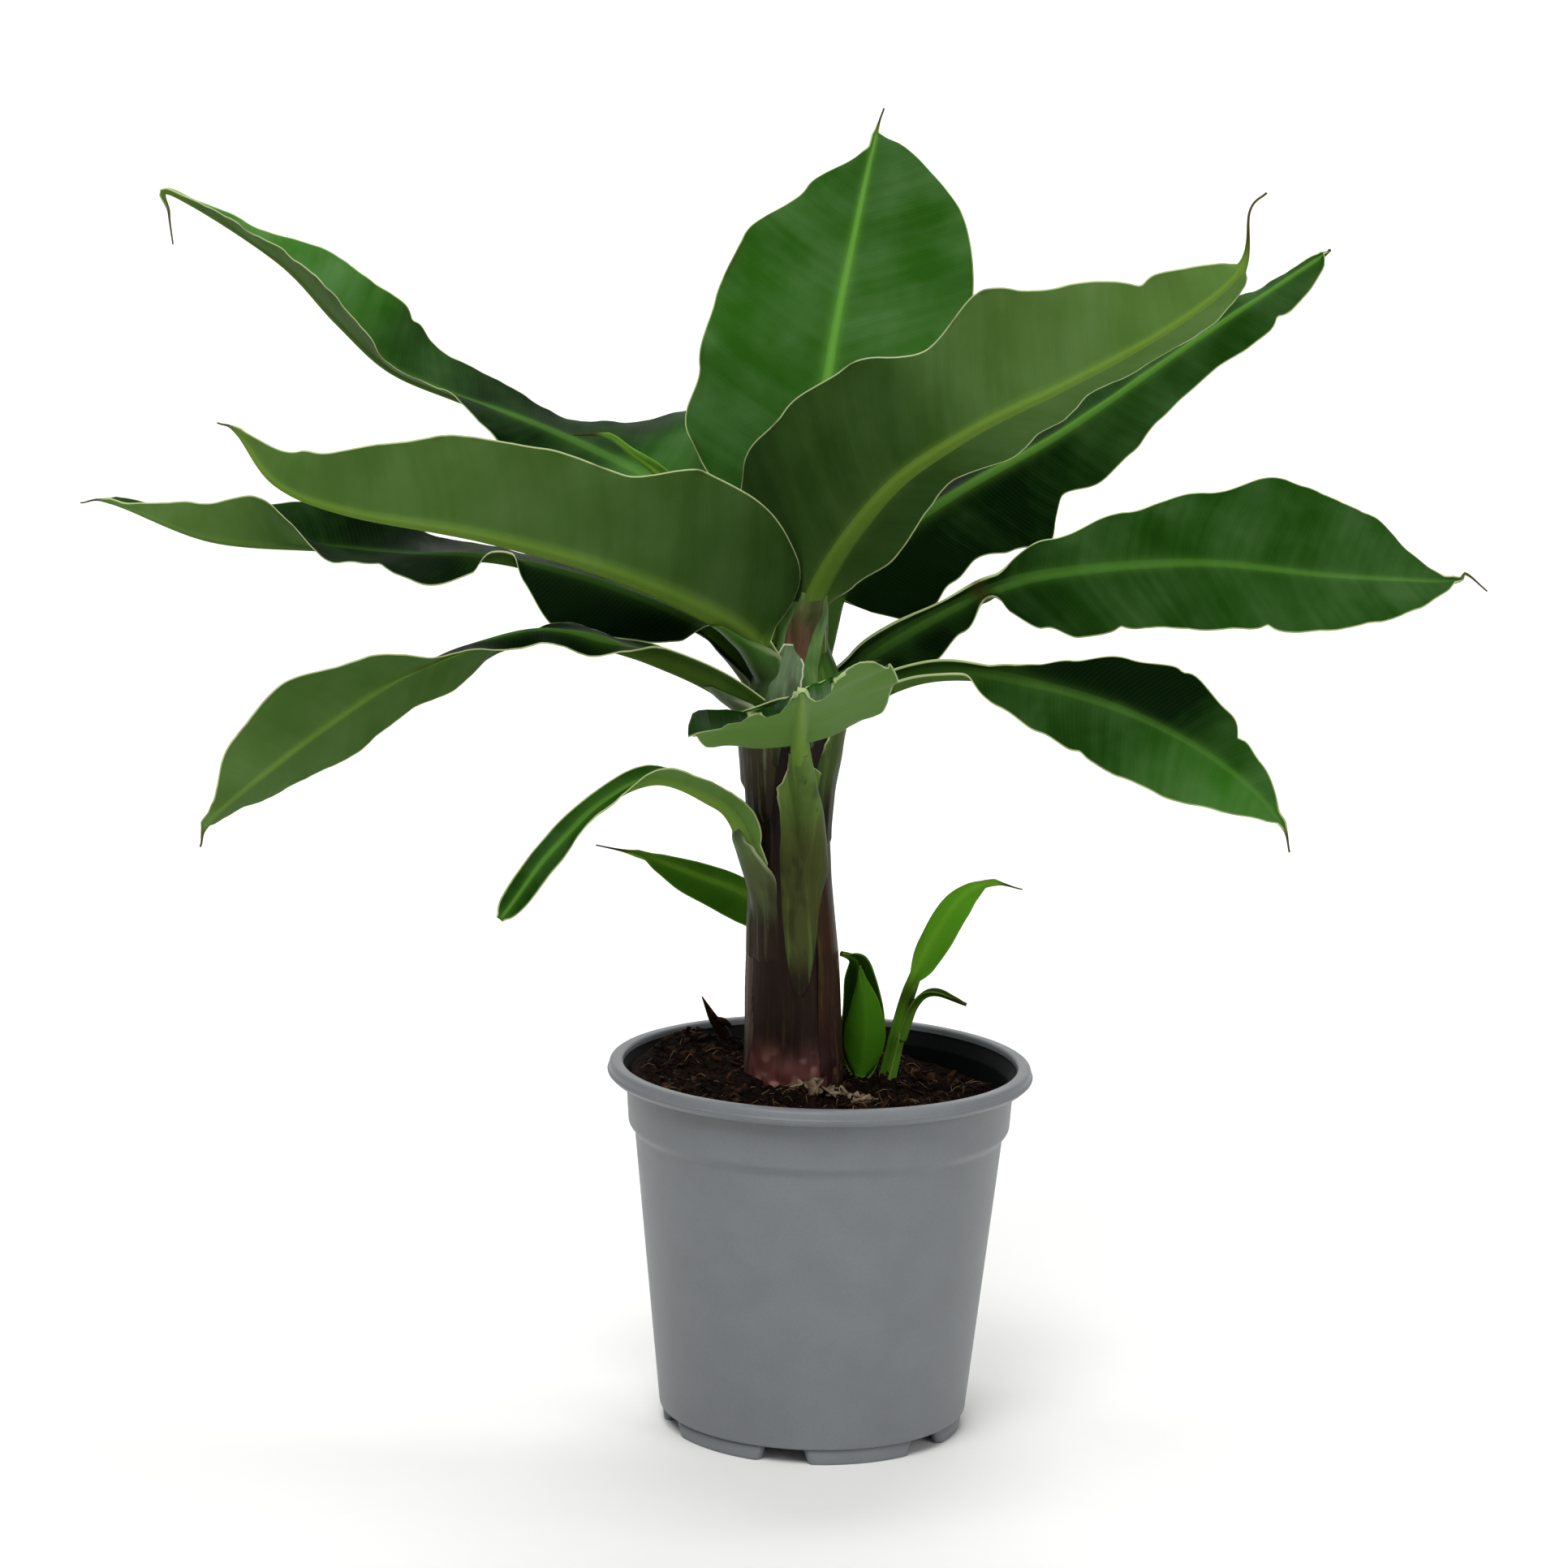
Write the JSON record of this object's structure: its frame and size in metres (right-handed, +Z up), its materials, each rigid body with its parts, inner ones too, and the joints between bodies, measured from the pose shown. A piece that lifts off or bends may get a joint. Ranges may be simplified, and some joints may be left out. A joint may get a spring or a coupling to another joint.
{
  "type": "potted banana plant",
  "caption": "Dwarf banana plant with broad arching leaves on a leaning pseudostem, growing in a round grey nursery pot filled with dark peat.",
  "frame": {"origin": "centre of the pot's flat underside, on the floor", "axes": "+Z up, +X to the plant's right as seen from its front, the front looks along -Y"},
  "size_m": [0.7167, 0.432, 0.6484],
  "materials": {
    "pot_plastic": "satin moulded grey plastic with a fine speckle",
    "peat": "moist dark brown peat with chips and fibres",
    "pseudostem": "smooth leaf sheaths, brown and dark purple over green",
    "leaf": "satin dark green leaf, paler underneath",
    "young_leaf": "satin bright green young leaf"
  },
  "bodies": {
    "root": {"pot": "pot_plastic", "peat": "peat", "pseudostem": "pseudostem", "leaf_top": "leaf", "leaf_upper_left": "leaf", "leaf_upper_right": "leaf", "leaf_front_left": "leaf", "leaf_front_right": "leaf", "leaf_left": "leaf", "leaf_lower_left": "leaf", "leaf_right": "leaf", "leaf_lower_right": "leaf", "leaf_front": "leaf", "leaf_small_left": "leaf", "leaf_small_left_tip": "leaf", "leaf_back": "leaf", "spear_leaf": "young_leaf", "shoot_rear": "young_leaf", "shoot_near": "young_leaf", "shoot_far": "young_leaf", "shoot_far_leaf": "young_leaf"}
  },
  "joints": []
}
